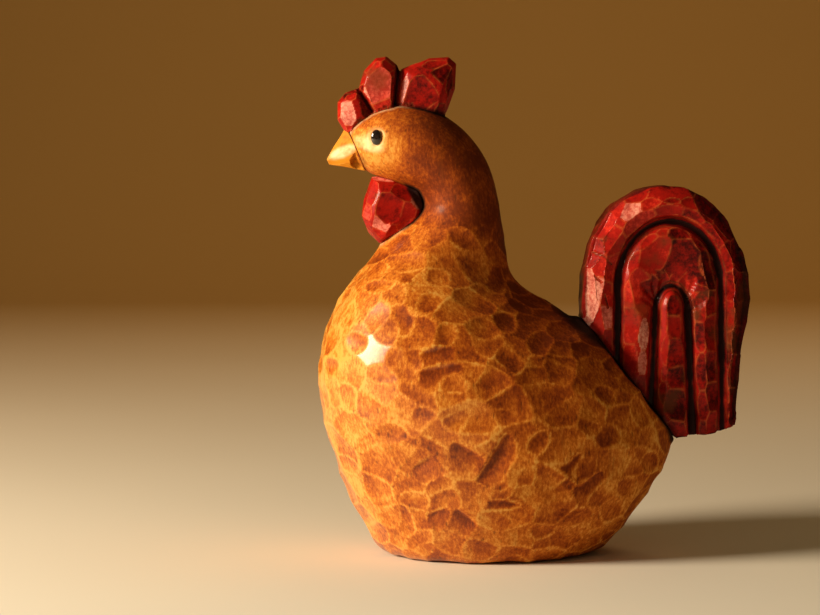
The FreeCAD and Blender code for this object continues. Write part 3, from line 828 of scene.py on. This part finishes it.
def facet_band(carving, left, right, rows_for, allowed, side, rng):
    """Rows of cuts along a band, flat across it. Its outer edge is left and its inner one is right."""
    face_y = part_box("tail")[1][1] / MM
    middle = (left + right) / 2
    length = np.linalg.norm(np.diff(middle, axis=0), axis=1).sum()
    for row in (0, 1, 2):
        at = rng.uniform(0, 4)
        while at < length:
            k = min(int(at / length * (LINE_POINTS - 1)), LINE_POINTS - 2)
            tangent = middle[k + 1] - middle[k]
            tangent = tangent / np.linalg.norm(tangent)
            width = np.linalg.norm(left[k] - right[k])
            rows = rows_for(width)
            if row < len(rows):
                share, lean, extra = rows[row]
                share += rng.uniform(-0.03, 0.03)
                spot = right[k] + (left[k] - right[k]) * share
                lean = math.tan(math.radians(lean + rng.uniform(-4, 4)))
                slant = rng.uniform(-0.10, 0.10)
                way = (left[k] - right[k]) / width * lean + tangent * slant
                doming = (spot[0] - TAIL_CROWN_X) / TAIL_DOME_R
                normal = np.array((way[0] + doming, side, way[1]))
                # The tail's front is painted paler, with more pink painted highlights, and its rear darker:
                # painted light and shade.
                tone = rng.uniform(-0.25, 0.60) + 0.95 * float(smooth_step(spot[0], 42, 64))
                depth = extra + rng.uniform(0.65, 0.95) + (spot[0] - TAIL_CROWN_X) * doming / 2
                site = np.array((spot[0], side * face_y, spot[1]))
                along = np.array((tangent[0], 0, tangent[1]))
                carving.slice(site, normal, depth, 11.0, 24, min(max(tone, 0.0), 1.0), allowed, along)
            long_facets = row > 1 or abs(tangent[1]) > 0.9
            at += rng.uniform(6.0, 9.5) if long_facets else rng.uniform(5.0, 7.5)


def carve_tail(material):
    rng = np.random.default_rng(23)
    piece = remeshed("tail", TAIL_VOXEL, 1)
    carving = Carving(piece.data)
    points, normals = carving.points, carving.normals
    outer, inner = groove_line(OUTER_GROOVE), groove_line(INNER_GROOVE)
    bands = tail_bands(points[:, [0, 2]], outer, inner)
    for side in (-1, 1):
        facing = normals[:, 1] * side > 0.05
        for left, right, rows_for, inside in bands:
            facet_band(carving, left, right, rows_for, inside & facing, side, rng)
    edge_on = abs(normals[:, 1]) < 0.35
    for i in scatter(points, edge_on, lambda i: 6.5, rng):
        normal = normals[i] + rng.normal(0, 0.05, 3)
        carving.slice(points[i], normal, rng.uniform(0.2, 0.45), 7.0, 60, rng.uniform(0.4, 1), edge_on)
    for side in (-1, 1):
        for start, end in TAIL_CRACKS:
            carving.score(start, end, side, 0.34, 0.3)
    paint_tail(piece.data, carving, outer, inner)
    finish_piece(piece, "tail", material)


def wobble(point):
    """How far the edge of a groove's dark stain and painted shadow strays here, in millimetres."""
    return noise.noise([c * 0.35 for c in point]) * 0.3 + noise.noise([c * 0.09 for c in point]) * 0.5


def paint_tail(mesh, carving, outer, inner):
    """Applies the cuts, then paints the grooves dark (stain and painted shadow), their lips pale (wear and
    painted highlight), painted shade on the rim, and the joint dark (a dark joint with painted shadow).
    """
    points = carving.points
    flat = points[:, [0, 2]]
    in_groove = np.minimum(line_distance(flat, outer), line_distance(flat, inner))
    in_groove = in_groove + np.array([wobble(point) for point in points.tolist()])
    on_face = smooth_step(abs(points[:, 1]), 5, 7)
    # Pale lips along the grooves: partly wear, partly painted highlight.
    lip = np.exp(-((in_groove - 1.5) / 0.25) ** 2) * on_face * 0.5
    joint = near_to(points, "body", 2.4)
    carving.apply(0.26, also=lip, touching=joint)
    soften(mesh)
    # The groove floors are dark: dark stain and painted shadow.
    sunk = (1 - smooth_step(in_groove, 0.65, 1.25)) * on_face
    # Painted shade on the rim, deeper towards the rear.
    on_rim = smooth_step(1 - abs(carving.normals[:, 1]), 0.35, 0.8)
    on_rim = on_rim * (0.25 + 0.5 * smooth_step(points[:, 0], 30, 45))
    put_attribute(mesh, "shade", np.maximum.reduce([sunk, on_rim, joint, carving.scored * 0.7]))
    put_attribute(mesh, "gloss", 1 - 0.8 * smooth_step(points[:, 0], 45, 70))


# ---- comb, wattle, beak and eyes -----------------------------------------------------------------
COMB_VOXEL = 0.30
# The comb's three lobes: middle and half-size in the XZ plane, and the facets round each one's middle as
# degrees round from +X, share of the half-size, degrees of tilt, and tone.
# Most facets turned towards the beak get low tones, pale and pink, and those turned rearwards high ones:
# painted highlight and shade.
COMB_LOBES = [
    ((-41.0, 133.0), (4.9, 6.2), [(190, 0.28, 24, 0.0), (10, 0.62, 42, 0.9), (120, 0.85, 42, 0.2),
                                  (235, 0.85, 40, 0.3)]),
    ((-33.2, 139.6), (6.2, 9.6), [(170, 0.10, 6, 0.15), (0, 0.72, 50, 0.9), (60, 0.84, 42, 0.7),
                                  (130, 0.86, 42, 0.4), (195, 0.74, 36, 0.0), (265, 0.70, 14, 0.2)]),
    ((-19.4, 139.8), (8.8, 9.6), [(215, 0.25, 7, 0.8), (40, 0.55, 16, 1.0), (0, 0.90, 46, 1.0),
                                  (90, 0.84, 42, 0.8), (172, 0.76, 38, 0.1), (275, 0.62, 16, 0.55),
                                  (320, 0.88, 36, 1.0)]),
]
# A facet nearer to its lobe's middle than this share is the lobe's main face, and is cut deeper.
MAIN_FACE_SHARE, MAIN_FACE_DEPTH = 0.35, 0.75
# The clefts between the lobes: their ends in the XZ plane, half-width and depth.
COMB_CLEFTS = [((-27.2, 149.0), (-28.6, 135.0), 1.2, 2.4), ((-40.4, 140.5), (-35.4, 133.2), 0.9, 1.5)]


def cleft_side(points, cleft):
    """How far each point is behind the line of a cleft, in millimetres."""
    (x0, z0), (x1, z1) = cleft[0], cleft[1]
    length = math.hypot(x1 - x0, z1 - z0)
    return ((points[:, 0] - x0) * (z0 - z1) + (points[:, 2] - z0) * (x1 - x0)) / length


def facet_lobes(carving, side, rng):
    """Each lobe's facets on one side of the comb."""
    points = carving.points
    rear, front = cleft_side(points, COMB_CLEFTS[0]) > 0, cleft_side(points, COMB_CLEFTS[1]) < 0
    members = [front & ~rear, ~front & ~rear, rear]
    for (middle, half, facets), member in zip(COMB_LOBES, members):
        for degrees, share, tilt, tone in facets:
            way = math.radians(degrees + rng.uniform(-6, 6))
            lean = math.radians(tilt + rng.uniform(-3, 3))
            start = (middle[0] + half[0] * share * math.cos(way), side * 6.5,
                     middle[1] + half[1] * share * math.sin(way))
            site = carving.tree.find(start)[0]
            normal = (math.sin(lean) * math.cos(way), side * math.cos(lean), math.sin(lean) * math.sin(way))
            depth = MAIN_FACE_DEPTH if share < MAIN_FACE_SHARE else rng.uniform(0.2, 0.4)
            carving.slice(np.array(site), np.array(normal), depth, 8.0, 90, tone, member)


def nick_base(carving, side, rng):
    """The row of small knife nicks along the comb's base."""
    base_x, base_z = comb_base()
    for x in np.arange(-41.0, -22.5, 0.62):
        x += rng.uniform(-0.12, 0.12)
        z = np.interp(x, base_x, base_z)
        end = x + rng.uniform(-0.3, 0.1), z + rng.uniform(0.6, 1.5)
        carving.score((x, z - 0.3), end, side, 0.26, 0.26)


def comb_base():
    """Where the comb's side meets the head: x, and the comb's lowest z there."""
    points = node_points("comb")
    points = points[abs(points[:, 1]) > 2.5]
    xs = np.arange(-42.0, -20.0, 1.0)
    lows = []
    for x in xs:
        column = points[abs(points[:, 0] - x) < 1.5, 2]
        lows.append(column.min() if len(column) else 130)
    return xs, np.array(lows)


def carve_comb(material):
    rng = np.random.default_rng(31)
    piece = remeshed("comb", COMB_VOXEL, 1)
    mesh = piece.data
    carving = Carving(mesh)
    points, normals = carving.points, carving.normals
    for side in (-1, 1):
        facet_lobes(carving, side, rng)
    edge_on = abs(normals[:, 1]) < 0.45
    for i in scatter(points, edge_on, lambda i: 4.4, rng):
        normal = normals[i] + rng.normal(0, 0.06, 3)
        carving.slice(points[i], normal, 0.14, 5.0, 60, rng.uniform(0, 1), edge_on)
    for side in (-1, 1):
        for start, end, half_width, depth in COMB_CLEFTS:
            carving.score(start, end, side, half_width, depth)
    cleft = carving.scored.copy()
    for side in (-1, 1):
        nick_base(carving, side, rng)
    carving.apply(0.26, touching=near_to(points, "body", 1.0))
    # Painted shadow under the rear lobe against the head, and painted shade in the clefts and the base's
    # nicks.
    under = near_to(points, "body", 1.6) * smooth_step(points[:, 0], -30, -22)
    dark = [under, smooth_step(cleft, 0.15, 0.9) * 0.9, carving.scored * 0.75]
    put_attribute(mesh, "shade", np.maximum.reduce(dark))
    put_attribute(mesh, "gloss", 1 - 0.6 * smooth_step(points[:, 0], -30, -15))
    finish_piece(piece, "comb", material)


WATTLE_VOXEL, WATTLE_GAP, WATTLE_DEPTH = 0.30, 4.6, 0.40
# A point on the edge of the painted shadow on the wattle's rear, and the way to the rear from there,
# in the XZ plane.
WATTLE_EDGE, WATTLE_REARWARD = (-26.4, 112.4), (0.884, 0.469)


def carve_wattle(material):
    """Broad flat facets all over, and painted shadow on the rear edge where it runs into the throat."""
    rng = np.random.default_rng(22)
    piece = remeshed("wattle", WATTLE_VOXEL)
    mesh = piece.data
    carving = Carving(mesh)
    points, normals = carving.points, carving.normals
    for i in scatter(points, np.ones(len(points), bool), lambda i: WATTLE_GAP, rng):
        ids = carving.near(points[i], WATTLE_GAP * 0.5)
        ids = ids[normals[ids] @ normals[i] > 0.5]
        normal = normals[ids].mean(axis=0) + rng.normal(0, 0.09, 3)
        carving.slice(points[i], normal, WATTLE_DEPTH * rng.uniform(0.6, 1.3), 7.0, 60, rng.uniform(0.0, 0.7))
    carving.apply(0.26, touching=near_to(points, "body", 1.5))
    behind = (points[:, 0] - WATTLE_EDGE[0]) * WATTLE_REARWARD[0]
    behind = behind + (points[:, 2] - WATTLE_EDGE[1]) * WATTLE_REARWARD[1]
    # Painted shadow on the rear, where the wattle runs into the throat.
    put_attribute(mesh, "shade", smooth_step(behind, -0.5, 0.7))
    put_attribute(mesh, "gloss", np.ones(len(points)))
    finish_piece(piece, "wattle", material)


BEAK_VOXEL, BEAK_GAP = 0.22, 3.4


def beak_tip():
    points = node_points("beak")
    return points[np.argmin(points[:, 0])]


def carve_beak():
    """Knife-cut facets, a painted cream highlight down the middle, and a rough patch at the joint's lower
    end.
    """
    rng = np.random.default_rng(5)
    piece = remeshed("beak", BEAK_VOXEL, 1)
    mesh = piece.data
    carving = Carving(mesh)
    points, normals = carving.points, carving.normals
    for i in scatter(points, np.ones(len(points), bool), lambda i: BEAK_GAP, rng):
        carving.slice(points[i], normals[i] + rng.normal(0, 0.08, 3), 0.12, 4.2, 40, rng.uniform(0, 1))
    carving.apply(0.22, touching=near_to(points, "body", 1.5))
    tip = beak_tip()
    put_attribute(mesh, "shade", near_to(points, "body", 0.6) * 0.6)
    put_attribute(mesh, "rough", painted_patch(points, (tip[0] + 9.6, tip[2] - 0.2), -55, 3.6, 2.0))
    # A painted highlight, cream, on the facet along the middle.
    put_attribute(mesh, "cream_paint_and_highlight", painted_patch(points, (tip[0] + 4.8, tip[2] + 2.0), 24, 5.0, 1.9))
    finish_piece(piece, "beak", beak_wood())


EYE_VOXEL = 0.12


def dress_eye(node, material):
    """A smooth bead, with its edge marked for the rim's colour."""
    piece = remeshed(node, EYE_VOXEL, 1)
    points = points_of(piece.data)
    low, high = (np.array(corner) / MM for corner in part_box(node))
    middle, half = (low + high) / 2, (high - low) / 2
    out = np.hypot((points[:, 0] - middle[0]) / half[0], (points[:, 2] - middle[2]) / half[2])
    put_attribute(piece.data, "shade", smooth_step(out, 0.80, 0.97))
    finish_piece(piece, node, material)


def main():
    add_camera()
    add_lights()
    add_floor()
    carve_body()
    red = red_wood()
    carve_comb(red)
    carve_wattle(red)
    carve_tail(red)
    carve_beak()
    bead = eye_gloss()
    for side in ("left", "right"):
        dress_eye("eye_" + side, bead)
    wood = peg_wood()
    for name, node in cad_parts.items():
        if "_peg" in name:
            node.data.materials.clear()
            node.data.materials.append(wood)


main()
